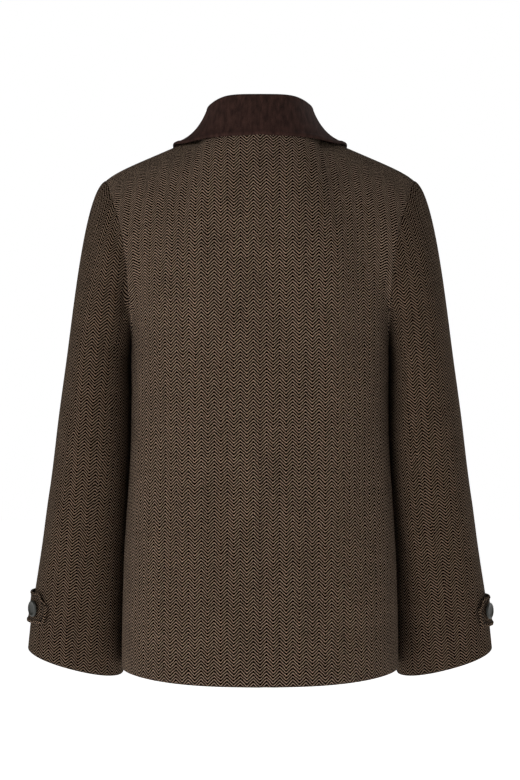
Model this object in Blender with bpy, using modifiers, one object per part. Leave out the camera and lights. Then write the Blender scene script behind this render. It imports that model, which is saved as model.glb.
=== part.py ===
"""Woven wool jacket with a cord collar, filled out as it is on a body, with no wearer in it.

Metres, +Z up, front towards -Y, the wearer's left towards +X. The origin is between the two
side neck points, where the jacket is held up. Every cloth piece is a thin wall of its own,
made as an open surface through named sections and thickened inwards, and stops a seam's gap
short of the piece that it is sewn to.
"""
import bpy
import numpy as np
from mathutils import Vector

# Cloth and seams
WALL = 0.0025
COLLAR_WALL = 0.0028
SEAM_GAP = 0.0003
ARMHOLE_GAP = 0.0008
LAP_LIFT = 0.0032          # how far the right front is lifted over the left one
LAP_WIDTH = 0.022          # how far each front reaches past the centre front
LAP_FADE = 0.023           # over this width beside the lap, the right front sinks back
TAB_LIFT = 0.0022          # from the sleeve up to the underside of the tab

# Length, neck and shoulders
HEM_DROP = 0.6735
HEM_SIDE_RISE = 0.010
PIT_DROP = 0.262
NECK_HALF_WIDTH = 0.068
NECK_BACK = (0.062, 0.006)     # depth and height of the neck seam at the centre back
NECK_FRONT = (0.075, -0.075)   # and at the centre front
NECK_FRONT_SWEEP = 2.6         # how long the front neck seam stays high
SHOULDER_TIP = 0.192
SHOULDER_SLOPE = 0.42
SHOULDER_SINK = 0.0015
SHOULDER_DIP = 0.005

# Armhole loop: half depths to the back and the front, and its x at the foot and the top
ARMHOLE_BACK = 0.070
ARMHOLE_FRONT = 0.066
ARMHOLE_FOOT_X = 0.160

# Roundness of the sections: 2 is an ellipse and more is boxier
TORSO_POWER = 2.7
BACK_TOP_POWER = 2.5
FRONT_TOP_POWER = 1.7
SLEEVE_POWER = 2.2

# Fullness over the shoulder blades and the bust: side offset, drop, half width, half height, depth
BLADE = (0.075, 0.150, 0.050, 0.080, 0.007)
BUST = (0.080, 0.225, 0.048, 0.070, 0.009)

NECK_SHARE = 0.38              # share of a half panel's columns that end on the neck seam
SKIRT_SHARE = 0.60             # share of a panel's height that lies below the armhole
# Where a half panel's columns and rows lie: finer beside the seams and up over the shoulder
PANEL_COLUMNS = (0, 0.015, 0.05, 0.11, 0.19, 0.285, NECK_SHARE, 0.47, 0.56, 0.65, 0.74, 0.82,
                 0.90, 0.965, 0.992, 1)
SKIRT_ROWS = 9
YOKE_ROWS = (0, 0.08, 0.18, 0.30, 0.44, 0.58, 0.72, 0.84, 0.93, 0.98, 1)
LAP_COLUMNS = (1.0, 0.6, 0.25)


def table(columns, *rows):
    """A table with a name for each column and a row for each section."""
    return {name: np.array([row[i] for row in rows]) for i, name in enumerate(columns.split())}


TORSO = table(
    "drop   half_width  back   front",
    (0.262, 0.1600, 0.118, 0.135),
    (0.330, 0.1575, 0.118, 0.134),
    (0.400, 0.1580, 0.115, 0.130),
    (0.457, 0.1610, 0.116, 0.129),
    (0.532, 0.1665, 0.122, 0.130),
    (0.600, 0.1685, 0.126, 0.130),
    (0.680, 0.1700, 0.128, 0.130),
)
SLEEVE = table(
    "drop   outer_x  inner_x  centre_y  half_depth  tilt  pitch  hind_seam  fore_seam",
    (0.285, 0.2410, 0.1625, 0.000, 0.072, 5.0, 0.0, 124.0, -132.0),
    (0.357, 0.2510, 0.1625, -0.002, 0.069, 6.0, 1.0, 118.0, -128.0),
    (0.432, 0.2605, 0.1650, -0.007, 0.064, 7.0, 3.0, 105.0, -124.0),
    (0.507, 0.2720, 0.1705, -0.014, 0.058, 8.0, 6.0, 92.0, -118.0),
    (0.570, 0.2820, 0.1735, -0.022, 0.052, 10.0, 8.5, 87.0, -113.0),
    (0.620, 0.2890, 0.1745, -0.029, 0.048, 12.5, 10.0, 85.0, -110.0),
    (0.660, 0.2935, 0.1745, -0.034, 0.045, 14.3, 11.0, 86.0, -108.0),
)
HEAD_HIND_SEAM = 130
HEAD_FORE_SEAM = -136
HEAD_ROWS = (0, 0.06, 0.15, 0.27, 0.42, 0.60, 0.80)
ARM_ROWS = 12
TOP_SLEEVE_COLUMNS = 12
UNDER_SLEEVE_COLUMNS = 8
NARROW_SHARE = 0.025           # of a sleeve piece's width, for the columns beside its seams
GAP_TURN = 0.45                # degrees from a sleeve piece's edge to the middle of the seam
# How the sleeve leaves the armhole: its lean from straight down, in degrees, and the pull of
# its curves, each at the pit and how much it changes by at the shoulder; and its pull below
PIT_LEAN = 5
SHOULDER_LEAN_GAIN = 70
SIDE_LEAN = 0.15
PIT_PULL = 0.75
SHOULDER_PULL_LOSS = 0.40
RING_PULL = 0.9
# Round the neck from the centre back to the centre front: how far the stand starts above the
# neck seam, the roll's height and its distance in from the seam, where the fall bends (its
# height counted from the seam), and where the fall's edge lies over the body
COLLAR = table(
    "turn  stand_up  roll_height  roll_in  bend_out  bend_up  edge_out  edge_up",
    (0.0, 0.0016, 0.0415, 0.001, 0.022, 0.002, 0.0320, -0.0120),
    (40.0, 0.0016, 0.0411, 0.003, 0.020, 0.001, 0.0330, -0.0130),
    (65.0, 0.0016, 0.0362, 0.005, 0.015, -0.002, 0.0340, -0.0140),
    (90.0, 0.0016, 0.0318, 0.006, 0.011, -0.003, 0.0360, -0.0120),
    (110.0, 0.0016, 0.0245, 0.006, 0.013, -0.003, 0.0380, -0.0275),
    (125.0, 0.0016, 0.0130, 0.004, 0.016, 0.003, 0.0375, -0.0480),
    (140.0, 0.0020, -0.0060, 0.002, 0.020, 0.010, 0.0405, -0.0620),
    (155.0, 0.0048, -0.0250, 0.001, 0.021, 0.006, 0.0390, -0.0890),
    (180.0, 0.0050, -0.0460, -0.001, 0.021, 0.006, 0.0360, -0.1110),
)
COLLAR_END_TURN = 176
COLLAR_POINT_TURN = 158
ROLL_RADIUS = 0.005
STAND_STEPS = (0.0, 0.35, 0.70)
ROLL_STEPS = (0, 45, 90, 135, 180)
FALL_STEPS = (0.17, 0.34, 0.51, 0.68, 0.84, 1.0)
COLLAR_COLUMNS = 33

# Cuff tabs: levels of the long edges, where the tab is sewn down, and how far round it
# reaches at its upper corner, its blunt point and its lower corner (degrees from outside)
TAB_ROOT = -70
TABS = {
    "left": {"upper": 0.5725, "lower": 0.6115, "reach": (38, 57, 53), "button": (31.5, 0.5925)},
    "right": {"upper": 0.5790, "lower": 0.6160, "reach": (33, 47, 45), "button": (26.5, 0.5960)},
}
TAB_POINT_SHARE = 0.45
TAB_ROWS = (0.0, 0.2, TAB_POINT_SHARE, 0.7, 1.0)
TAB_COLUMNS = 15
BUTTON_GAP = 0.0005
BUTTON_STEPS = 20
FRONT_BUTTON_DROPS = (0.100, 0.215, 0.330, 0.445)
# Turned outline of a button from the middle of its face round to the middle of its back
BUTTON_OUTLINE = ((0.0, 0.0023), (0.0062, 0.0023), (0.0074, 0.0031), (0.0093, 0.0030),
                  (0.0102, 0.0021), (0.0096, 0.0007), (0.0078, 0.0), (0.0, 0.0))

# Short steps over which a slope is taken
SLEEVE_STEP = 0.004
PATCH_STEP = 0.01
LAP_STEP = 0.002


def smooth(places, values, at):
    """Curve through a table's rows: cubic pieces that share their slopes where they meet."""
    slopes = np.gradient(values, places)
    i = np.clip(np.searchsorted(places, at) - 1, 0, len(places) - 2)
    step = places[i + 1] - places[i]
    t = np.clip((at - places[i]) / step, 0.0, 1.0)
    start = (1 + 2 * t) * (1 - t) ** 2 * values[i] + t * (1 - t) ** 2 * step * slopes[i]
    end = t ** 2 * (3 - 2 * t) * values[i + 1] + t ** 2 * (t - 1) * step * slopes[i + 1]
    return start + end


def ease(t):
    """0 to 1 with level ends."""
    t = np.clip(t, 0.0, 1.0)
    return t * t * (3 - 2 * t)


def flattened(value, power):
    """A sine or cosine made boxier, its sign kept."""
    return np.sign(value) * np.abs(value) ** (2 / power)


def shoulder_height(x):
    """Height of the shoulder seam: an even slope that sinks a little at the armhole."""
    share = (x - NECK_HALF_WIDTH) / (SHOULDER_TIP - NECK_HALF_WIDTH)
    return -SHOULDER_SINK - SHOULDER_SLOPE * (x - NECK_HALF_WIDTH) - SHOULDER_DIP * share ** 10


def neck_seam(turn):
    """Point of the neck seam, turned from the centre back (0) to the centre front (180)."""
    across = np.cos(turn)
    depth = np.where(across > 0, NECK_BACK[0], NECK_FRONT[0])
    back_height = -SHOULDER_SINK + (NECK_BACK[1] + SHOULDER_SINK) * across ** 2
    front_height = -SHOULDER_SINK + (NECK_FRONT[1] + SHOULDER_SINK) * np.abs(across) ** NECK_FRONT_SWEEP
    height = np.where(across > 0, back_height, front_height)
    return np.stack([NECK_HALF_WIDTH * np.sin(turn), depth * across, height], axis=-1)


def armhole(turn):
    """Armhole loop, turned from the shoulder tip (0) over the back (90) to the pit (180)."""
    top = shoulder_height(SHOULDER_TIP)
    height = (top - PIT_DROP) / 2 + (top + PIT_DROP) / 2 * np.cos(turn)
    rise = (height + PIT_DROP) / (top + PIT_DROP)
    depth = np.where(np.sin(turn) > 0, ARMHOLE_BACK, ARMHOLE_FRONT)
    x = ARMHOLE_FOOT_X + (SHOULDER_TIP - ARMHOLE_FOOT_X) * rise ** 3
    return np.stack([x, depth * np.sin(turn), height], axis=-1)


def torso_ring(facing, across, drop):
    """Quarter ring round the torso: across runs from the centre (0) to the side seam (1)."""
    angle = np.radians(90 * across)
    depth_name = "back" if facing > 0 else "front"
    half_width = smooth(TORSO["drop"], TORSO["half_width"], drop)
    depth = smooth(TORSO["drop"], TORSO[depth_name], drop)
    x = half_width * flattened(np.sin(angle), TORSO_POWER)
    y = facing * depth * flattened(np.cos(angle), TORSO_POWER)
    return x, y


def top_edge(facing, across):
    """Upper edge of a half panel: the neck seam as far as the side neck, then the shoulder."""
    neck_turn = np.radians(90 * np.minimum(across / NECK_SHARE, 1.0))
    neck = neck_seam(neck_turn if facing > 0 else np.pi - neck_turn)
    out = np.maximum(across - NECK_SHARE, 0.0) / (1 - NECK_SHARE)
    x = NECK_HALF_WIDTH + (SHOULDER_TIP - NECK_HALF_WIDTH) * out
    seam = np.stack([x, np.zeros_like(x), shoulder_height(x)], axis=-1)
    return np.where((across <= NECK_SHARE)[..., None], neck, seam)


def body(facing, across, up):
    """Outer face of the body. Facing is 1 for the back and -1 for the front, across runs from
    the centre (0) to the side seam and armhole (1), and up from the hem (0) to the top (1).

    Up to the armhole's foot the rows are rings from the TORSO table. Above it, a patch rises
    from the last ring to the top edge, rounded over like a quarter ring, and its outer columns
    are drawn to the armhole loop.
    """
    mirrored = np.where(across < 0, -1.0, 1.0)
    across = np.abs(across)
    rise = np.clip(up / SKIRT_SHARE, 0.0, 1.0)
    hem = HEM_DROP - HEM_SIDE_RISE * np.sin(np.radians(90 * across)) ** 2
    x_low, y_low = torso_ring(facing, across, HEM_DROP + (PIT_DROP - HEM_DROP) * rise)
    z_low = -(hem + (PIT_DROP - hem) * rise)

    climb = np.clip((up - SKIRT_SHARE) / (1 - SKIRT_SHARE), 0.0, 1.0)
    quarter = np.radians(90 * climb)
    power = BACK_TOP_POWER if facing > 0 else FRONT_TOP_POWER
    raised = flattened(np.sin(quarter), power)
    depth_left = flattened(np.cos(quarter), power)
    top = top_edge(facing, across)
    loop = armhole(facing * np.pi * (1 - climb))
    pull = across ** 3
    shoulder = shoulder_height(SHOULDER_TIP)
    inward = raised ** 2
    x_foot, y_foot = torso_ring(facing, across, np.full_like(across, PIT_DROP))
    x_side = TORSO["half_width"][0] * (1 - inward) + SHOULDER_TIP * inward
    x = x_foot * (1 - inward) + top[..., 0] * inward + pull * (loop[..., 0] - x_side)
    y = y_foot * depth_left + top[..., 1] * (1 - depth_left) + pull * loop[..., 1]
    z_side = -PIT_DROP + (shoulder + PIT_DROP) * raised
    z = -PIT_DROP + (top[..., 2] + PIT_DROP) * raised + pull * (loop[..., 2] - z_side)

    above = up > SKIRT_SHARE
    x = np.where(above, x, x_low)
    y = np.where(above, y, y_low)
    z = np.where(above, z, z_low)
    offset, drop, half_width, half_height, depth = BLADE if facing > 0 else BUST
    fullness = np.exp(-((x - offset) / half_width) ** 2 - ((z + drop) / half_height) ** 2)
    y = y + facing * depth * fullness * (1 - across ** 4) * depth_left
    return np.stack([x * mirrored, y, z], axis=-1)


def sleeve_ring(station, turn):
    """Ring of the sleeve at a station, turned from outside (0) over the back (90) to the torso
    side (180). Its plane is tilted up to the outer side and pitched down to the back."""
    row = {name: smooth(SLEEVE["drop"], SLEEVE[name], station) for name in SLEEVE}
    half = (row["outer_x"] - row["inner_x"]) / 2
    centre = (row["outer_x"] + row["inner_x"]) / 2
    out = half * flattened(np.cos(turn), SLEEVE_POWER)
    tilt = np.radians(row["tilt"])
    x = centre + out
    y = row["centre_y"] + row["half_depth"] * flattened(np.sin(turn), SLEEVE_POWER)
    z = -station + out * np.tan(tilt) - (y - row["centre_y"]) * np.tan(np.radians(row["pitch"]))
    return np.stack([x, y, z], axis=-1)


def sleeve(along, turn):
    """Outer face of the wearer's left sleeve: along runs over the head (0 to 1), then down
    the table's stations (1 to 2). Over the head, each line leaves the armhole on its own lean,
    nearly level at the shoulder and straight down at the pit, and joins the first ring."""
    first, last = SLEEVE["drop"][0], SLEEVE["drop"][-1]
    station = first + (last - first) * np.clip(along - 1, 0.0, 1.0)
    lower = sleeve_ring(station, turn)
    start = armhole(turn) + np.array([ARMHOLE_GAP, 0.0, 0.0])
    end = sleeve_ring(np.full_like(turn, first), turn)
    below = sleeve_ring(np.full_like(turn, first + SLEEVE_STEP), turn)
    chord = np.linalg.norm(end - start, axis=-1)[..., None]
    height = (1 + np.cos(turn)) / 2
    lean = np.radians(PIT_LEAN + SHOULDER_LEAN_GAIN * height)
    leave = np.stack([np.sin(lean), SIDE_LEAN * np.sin(turn), -np.cos(lean)], axis=-1)
    leave = leave * chord * (PIT_PULL - SHOULDER_PULL_LOSS * height)[..., None]
    arrive = (below - end) / SLEEVE_STEP * chord * RING_PULL
    t = np.clip(along, 0.0, 1.0)[..., None]
    head = ((1 + 2 * t) * (1 - t) ** 2 * start + t * (1 - t) ** 2 * leave
            + t ** 2 * (3 - 2 * t) * end + t ** 2 * (t - 1) * arrive)
    return np.where((along > 1)[..., None], lower, head)


def outward(points, sign):
    """Unit normals of a grid of points, turned to the side that sign asks for."""
    normal = np.cross(np.gradient(points, axis=1), np.gradient(points, axis=0))
    return sign * normal / np.linalg.norm(normal, axis=-1)[..., None]


def cloth(name, points, wall, material, flip):
    """Sheet through a grid of points on its outer face, thickened inwards."""
    rows, columns = points.shape[:2]
    index = np.arange(rows * columns).reshape(rows, columns)
    corners = (index[:-1, :-1], index[:-1, 1:], index[1:, 1:], index[1:, :-1])
    faces = np.stack([corner.ravel() for corner in corners], axis=-1)
    if flip:
        faces = faces[:, ::-1]
    mesh = bpy.data.meshes.new(name)
    mesh.from_pydata(points.reshape(-1, 3).tolist(), [], faces.tolist())
    mesh.shade_smooth()
    mesh.materials.append(material)
    item = bpy.data.objects.new(name, mesh)
    solidify = item.modifiers.new("Wall", "SOLIDIFY")
    solidify.thickness = wall
    solidify.offset = -1.0
    solidify.use_even_offset = True
    jacket.objects.link(item)
    return item


def finish(name, colour, roughness):
    material = bpy.data.materials.new(name)
    material.use_nodes = True
    shader = material.node_tree.nodes["Principled BSDF"]
    shader.inputs["Base Color"].default_value = (*colour, 1.0)
    shader.inputs["Roughness"].default_value = roughness
    shader.inputs["Metallic"].default_value = 0.0
    return material


def panel_rows():
    """Rows of a panel: even ones from the hem to the armhole, then the yoke's."""
    skirt = np.linspace(0, SKIRT_SHARE, SKIRT_ROWS + 1)[:-1]
    return np.concatenate([skirt, SKIRT_SHARE + (1 - SKIRT_SHARE) * np.array(YOKE_ROWS)])


def lap_columns():
    """Columns of a front that reaches past the centre front to its lap's edge."""
    ring_share = (LAP_WIDTH / TORSO["half_width"][0]) ** (TORSO_POWER / 2)
    lap_share = np.degrees(np.arcsin(ring_share)) / 90
    return np.concatenate([-lap_share * np.array(LAP_COLUMNS), PANEL_COLUMNS])


def body_panel(name, side, facing, columns, lifted, material):
    """Half of the back or the front. Side is 1 for the wearer's left."""
    up, across = np.meshgrid(panel_rows(), columns, indexing="ij")
    points = body(facing, across, up)
    if lifted:
        lift = LAP_LIFT * (1 - ease((points[..., 0] - LAP_WIDTH) / LAP_FADE))
        points = points + outward(points, 1) * lift[..., None]
    if columns[0] == 0:
        points[..., 0] = np.maximum(points[..., 0], SEAM_GAP)
    beside_seam = (across >= NECK_SHARE) | (up < SKIRT_SHARE)
    clear_y = facing * np.maximum(facing * points[..., 1], SEAM_GAP)
    points[..., 1] = np.where(beside_seam, clear_y, points[..., 1])
    points[..., 0] *= side
    cloth(name, points, WALL, material, flip=(side * facing > 0))


def sleeve_piece(name, side, columns, first_seam, last_seam, material):
    """Part of a sleeve between two seams, each given as its turns along the sleeve."""
    along = np.concatenate([HEAD_ROWS, np.linspace(1, 2, ARM_ROWS)])
    share, rows = np.meshgrid(columns, along)
    first = first_seam(rows)
    last = last_seam(rows)
    points = sleeve(rows, np.radians(first + (last - first) * share))
    points[..., 0] *= side
    cloth(name, points, WALL, material, flip=(side > 0))


def seam_turn(column, head_turn, margin):
    """Turn of a long sleeve seam along the sleeve, with half the seam's gap added."""
    def turn(along):
        first, last = SLEEVE["drop"][0], SLEEVE["drop"][-1]
        station = first + (last - first) * np.clip(along - 1, 0.0, 1.0)
        lower = smooth(SLEEVE["drop"], SLEEVE[column], station)
        start = SLEEVE[column][0]
        head = head_turn + (start - head_turn) * along
        return np.where(along > 1, lower, head) + margin
    return turn


def sleeve_columns(count):
    """Even columns of a sleeve piece with a narrow one beside each seam."""
    return np.concatenate([[0], np.linspace(NARROW_SHARE, 1 - NARROW_SHARE, count), [1]])


def make_sleeves(material):
    for side, hand in ((1, "left"), (-1, "right")):
        sleeve_piece(f"sleeve_top_{hand}", side, sleeve_columns(TOP_SLEEVE_COLUMNS),
                     seam_turn("fore_seam", HEAD_FORE_SEAM, GAP_TURN),
                     seam_turn("hind_seam", HEAD_HIND_SEAM, -GAP_TURN), material)
        sleeve_piece(f"sleeve_under_{hand}", side, sleeve_columns(UNDER_SLEEVE_COLUMNS),
                     seam_turn("hind_seam", HEAD_HIND_SEAM, GAP_TURN),
                     seam_turn("fore_seam", HEAD_FORE_SEAM, 360 - GAP_TURN), material)


def collar_section(turn):
    """Section of the collar at a turn round the neck, as distances out from the neck seam and
    heights: up the stand, over the roll, and down the fall to its edge."""
    row = {name: smooth(COLLAR["turn"], COLLAR[name], turn) for name in COLLAR}
    seam = neck_seam(np.radians(turn))[..., 2]
    roll_out = -row["roll_in"]
    roll_foot = row["roll_height"] - ROLL_RADIUS
    stand_foot = seam + row["stand_up"]
    stand = [(-WALL / 2 + (roll_out - ROLL_RADIUS + WALL / 2) * t,
              stand_foot + (roll_foot - stand_foot) * t) for t in STAND_STEPS]
    roll = [(roll_out - ROLL_RADIUS * np.cos(angle), roll_foot + ROLL_RADIUS * np.sin(angle))
            for angle in np.radians(ROLL_STEPS)]
    start_out = roll_out + ROLL_RADIUS
    fall = []
    for t in FALL_STEPS:
        near, bend, far = (1 - t) ** 2, 2 * t * (1 - t), t * t
        fall.append((near * start_out + bend * row["bend_out"] + far * row["edge_out"],
                     near * roll_foot + bend * (seam + row["bend_up"]) + far * row["edge_up"]))
    return stand + roll + fall


def make_collar(material):
    """One sheet right round the neck. Its front ends slant back towards the fall's edge."""
    before_fall = len(STAND_STEPS) + len(ROLL_STEPS)
    steps = [0.0] * before_fall + list(FALL_STEPS)
    around = np.linspace(-1, 1, COLLAR_COLUMNS)
    rows = []
    for i, fall_share in enumerate(steps):
        end = COLLAR_END_TURN + (COLLAR_POINT_TURN - COLLAR_END_TURN) * fall_share
        turn = around * end
        out, height = collar_section(np.abs(turn))[i]
        angle = np.radians(turn)
        seam = neck_seam(angle)
        depth = np.where(np.cos(angle) > 0, NECK_BACK[0], NECK_FRONT[0])
        away = np.stack([depth * np.sin(angle), NECK_HALF_WIDTH * np.cos(angle)], axis=-1)
        away /= np.linalg.norm(away, axis=-1)[:, None]
        rows.append(np.stack([seam[:, 0] + away[:, 0] * out, seam[:, 1] + away[:, 1] * out,
                              height], axis=-1))
    cloth("collar", np.stack(rows), COLLAR_WALL, material, flip=False)


def station_at(turn, drop):
    """Station of the sleeve at which its outer face, at a turn, is a drop below the origin."""
    stations = np.linspace(SLEEVE["drop"][0], SLEEVE["drop"][-1], 60)
    heights = sleeve_ring(stations, np.full_like(stations, turn))[:, 2]
    return np.interp(drop, -heights, stations)


def on_cuff(turn_degrees, drop, lift):
    """Point over the cuff at a turn and a drop, lifted off the sleeve, and the way out."""
    turn = np.radians(turn_degrees)
    station = station_at(turn, drop)
    here = sleeve_ring(station, turn)
    along = sleeve_ring(station + PATCH_STEP, turn) - here
    around = sleeve_ring(station, turn + PATCH_STEP) - here
    normal = np.cross(along, around)
    normal /= np.linalg.norm(normal)
    return here + normal * lift, normal


def make_tab(hand, side, material):
    """Strap round the outside of the cuff with a blunt point, a step away from the sleeve."""
    tab = TABS[hand]
    upper_reach, point_reach, lower_reach = tab["reach"]
    grid = []
    for share in TAB_ROWS:
        drop = tab["upper"] + (tab["lower"] - tab["upper"]) * share
        reach = np.interp(share, (0, TAB_POINT_SHARE, 1), (upper_reach, point_reach, lower_reach))
        grid.append([on_cuff(TAB_ROOT + (reach - TAB_ROOT) * t, drop, TAB_LIFT + WALL)[0]
                     for t in np.linspace(0, 1, TAB_COLUMNS)])
    points = np.array(grid)
    points[..., 0] *= side
    cloth(f"cuff_tab_{hand}", points, WALL, material, flip=(side > 0))


def make_button(name, place, facing, material):
    """Turned button with a raised rim, its back on the place and its face the way it looks."""
    mesh = bpy.data.meshes.new(name)
    points = [(radius, 0.0, height) for radius, height in BUTTON_OUTLINE]
    mesh.from_pydata(points, [(i, i + 1) for i in range(len(points) - 1)], [])
    mesh.materials.append(material)
    item = bpy.data.objects.new(name, mesh)
    turned = item.modifiers.new("Turned", "SCREW")
    turned.steps = BUTTON_STEPS
    turned.render_steps = BUTTON_STEPS
    turned.use_merge_vertices = True
    turned.merge_threshold = 0.00001
    turned.use_smooth_shade = True
    item.location = place
    item.rotation_mode = "QUATERNION"
    item.rotation_quaternion = Vector(facing).to_track_quat("Z", "Y")
    jacket.objects.link(item)


def make_front_buttons(material):
    """A row down the lap, each on the lifted right front at the centre."""
    rows = panel_rows()
    front_line = body(-1, np.zeros_like(rows), rows)
    across = np.array([[-LAP_STEP, LAP_STEP], [-LAP_STEP, LAP_STEP]])
    for number, drop in enumerate(FRONT_BUTTON_DROPS, start=1):
        up = np.interp(-drop, front_line[:, 2], rows)
        beside = body(-1, across, np.array([[up, up], [up + PATCH_STEP, up + PATCH_STEP]]))
        normal = outward(beside, 1.0)[0, 0]
        place = beside[0].mean(axis=0) + normal * (LAP_LIFT + BUTTON_GAP)
        make_button(f"front_button_{number}", place, normal, material)


for old in list(bpy.data.objects):
    bpy.data.objects.remove(old, do_unlink=True)
jacket = bpy.data.collections.new("jacket")
bpy.context.scene.collection.children.link(jacket)

tweed = finish("herringbone wool", (0.060, 0.040, 0.028), 0.9)
cord = finish("fine cord", (0.022, 0.010, 0.008), 0.85)
horn = finish("dark button", (0.026, 0.026, 0.019), 0.4)

body_panel("back_left", 1, 1, PANEL_COLUMNS, False, tweed)
body_panel("back_right", -1, 1, PANEL_COLUMNS, False, tweed)
body_panel("front_left", 1, -1, lap_columns(), False, tweed)
body_panel("front_right", -1, -1, lap_columns(), True, tweed)
make_sleeves(tweed)
make_collar(cord)
for hand_name, hand_side in (("left", 1), ("right", -1)):
    make_tab(hand_name, hand_side, tweed)
    turn_out, button_drop = TABS[hand_name]["button"]
    spot, way_out = on_cuff(turn_out, button_drop, TAB_LIFT + WALL + BUTTON_GAP)
    mirror = np.array([hand_side, 1, 1])
    make_button(f"cuff_button_{hand_name}", spot * mirror, way_out * mirror, horn)
make_front_buttons(horn)
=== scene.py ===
"""Herringbone tweed jacket with a cord collar, seen from behind, filled out with no wearer in it.

Metres, +Z up, front towards -Y, the wearer's left towards +X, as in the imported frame. The
sections follow the jacket as it is sewn: body, sleeves, collar, cuff tabs, buttons.
"""

import bpy
import numpy as np
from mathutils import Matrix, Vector


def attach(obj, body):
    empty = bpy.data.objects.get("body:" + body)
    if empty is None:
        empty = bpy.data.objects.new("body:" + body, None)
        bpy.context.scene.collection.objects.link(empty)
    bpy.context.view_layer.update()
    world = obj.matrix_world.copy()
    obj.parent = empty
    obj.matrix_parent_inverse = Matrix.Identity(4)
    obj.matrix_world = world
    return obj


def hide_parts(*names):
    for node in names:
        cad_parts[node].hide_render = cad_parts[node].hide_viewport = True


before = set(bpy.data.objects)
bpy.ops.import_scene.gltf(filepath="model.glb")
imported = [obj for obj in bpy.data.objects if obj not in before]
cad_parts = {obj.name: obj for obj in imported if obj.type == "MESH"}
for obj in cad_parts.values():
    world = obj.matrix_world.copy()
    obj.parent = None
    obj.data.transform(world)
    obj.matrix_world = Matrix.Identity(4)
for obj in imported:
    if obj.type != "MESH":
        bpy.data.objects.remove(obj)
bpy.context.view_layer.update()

# Camera, light and floor. The photograph was taken level, from straight behind, with a long
# lens: 2.6 m away, and 0.65 m of jacket across the frame.
CAMERA_DISTANCE = 2.6
CAMERA_HEIGHT = -0.320
FLOOR_HEIGHT = -1.05
KEY_POWER = 48.0


def point_at(thing, target):
    """Turn a lamp or the camera so that its -Z axis looks at the target, with +Y kept up."""
    away = thing.location - Vector(target)
    thing.rotation_euler = away.to_track_quat("Z", "Y").to_euler()


def area_light(name, place, target, size, power):
    lamp = bpy.data.lights.new(name, "AREA")
    lamp.shape = "DISK"
    lamp.size = size
    lamp.energy = power
    item = bpy.data.objects.new(name, lamp)
    item.location = place
    point_at(item, target)
    bpy.context.scene.collection.objects.link(item)


camera = bpy.data.objects.new("camera", bpy.data.cameras.new("camera"))
camera.location = (0.0, CAMERA_DISTANCE, CAMERA_HEIGHT)
camera.data.lens = 96.0
camera.data.sensor_width = 36.0
point_at(camera, (0.0, 0.0, CAMERA_HEIGHT))
bpy.context.scene.collection.objects.link(camera)
bpy.context.scene.camera = camera

area_light("key light", (1.9, 2.7, 1.0), (0.0, 0.0, -0.3), 1.4, KEY_POWER)
area_light("fill light", (-2.4, -1.8, 1.2), (0.0, 0.0, -0.3), 2.0, 0.5 * KEY_POWER)

bpy.context.scene.view_settings.view_transform = "Standard"
world = bpy.data.worlds.new("studio")
world.use_nodes = True
bpy.context.scene.world = world


def add_node(tree, kind, links=(), **settings):
    """Add a node with its settings, feed it from the sockets or values in links, by input."""
    node = tree.nodes.new(kind)
    for name, value in settings.items():
        setattr(node, name, value)
    for socket, value in links:
        if isinstance(value, bpy.types.NodeSocket):
            tree.links.new(value, node.inputs[socket])
        else:
            node.inputs[socket].default_value = value
    return node


def colour(text):
    """Linear RGBA of an sRGB hex colour: ((c + 0.055) / 1.055) to the power 2.4."""
    parts = np.array([int(text[i:i + 2], 16) for i in (1, 3, 5)]) / 255
    linear = np.where(parts > 0.04045, ((parts + 0.055) / 1.055) ** 2.4, parts / 12.92)
    return (*linear.tolist(), 1.0)


# The surround is white paper: the camera sees it at full white, and it lights the cloth less
seen = add_node(world.node_tree, "ShaderNodeLightPath")
strength = add_node(world.node_tree, "ShaderNodeMapRange",
                    [(0, seen.outputs["Is Camera Ray"]), (3, 0.17), (4, 1.0)])
surround = world.node_tree.nodes["Background"]
surround.inputs["Color"].default_value = (1.0, 1.0, 1.0, 1.0)
world.node_tree.links.new(strength.outputs["Result"], surround.inputs["Strength"])

paper = bpy.data.materials.new("white paper floor")
paper.use_nodes = True
paper_shader = paper.node_tree.nodes["Principled BSDF"]
paper_shader.inputs["Base Color"].default_value = colour("#f4f4f4")
paper_shader.inputs["Roughness"].default_value = 0.8
paper_shader.inputs["Emission Color"].default_value = colour("#ffffff")
paper_shader.inputs["Emission Strength"].default_value = 0.85
floor_mesh = bpy.data.meshes.new("floor")
floor_mesh.from_pydata([(-9, -9, FLOOR_HEIGHT), (9, -9, FLOOR_HEIGHT), (9, 9, FLOOR_HEIGHT),
                        (-9, 9, FLOOR_HEIGHT)], [], [(0, 1, 2, 3)])
floor_mesh.materials.append(paper)
floor = bpy.data.objects.new("floor", floor_mesh)
bpy.context.scene.collection.objects.link(floor)

# Body. Two back panels with a centre seam and two overlapping fronts, cut from one tweed of
# carded wool about 2.5 mm thick and joined by plain seams pressed open. Each panel is a closed
# thin shell whose edges are rolled in, so that two of them meet in a seam's groove.
CLOTH = 0.0025
GRID = 0.0034                  # spacing of the points on the cloth
EDGE_GRID = (0.0001, 0.0003, 0.0006, 0.0014)   # finer spacing in from every edge
EDGE_TURN_IN = 0.0006          # how deep the seams' grooves are
SEAM_GAP = -0.00005            # the two edges press into each other
LAP_LIFT = 0.0032              # how far the right front is lifted over the left one
LAP_WIDTH = 0.022              # how far each front reaches past the centre front
LAP_FADE = 0.023
HEM_DROP = 0.6735
HEM_SIDE_RISE = 0.010
PIT_DROP = 0.262
NECK_HALF_WIDTH = 0.068
NECK_BACK = (0.062, 0.006)     # depth and height of the neck seam at the centre back
NECK_FRONT = (0.075, -0.075)   # and at the centre front
NECK_FRONT_SWEEP = 2.6
SHOULDER_TIP = 0.192
SHOULDER_SLOPE = 0.42
SHOULDER_SINK = 0.0015
SHOULDER_DIP = 0.005
ARMHOLE_BACK = 0.070
ARMHOLE_FRONT = 0.066
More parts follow.
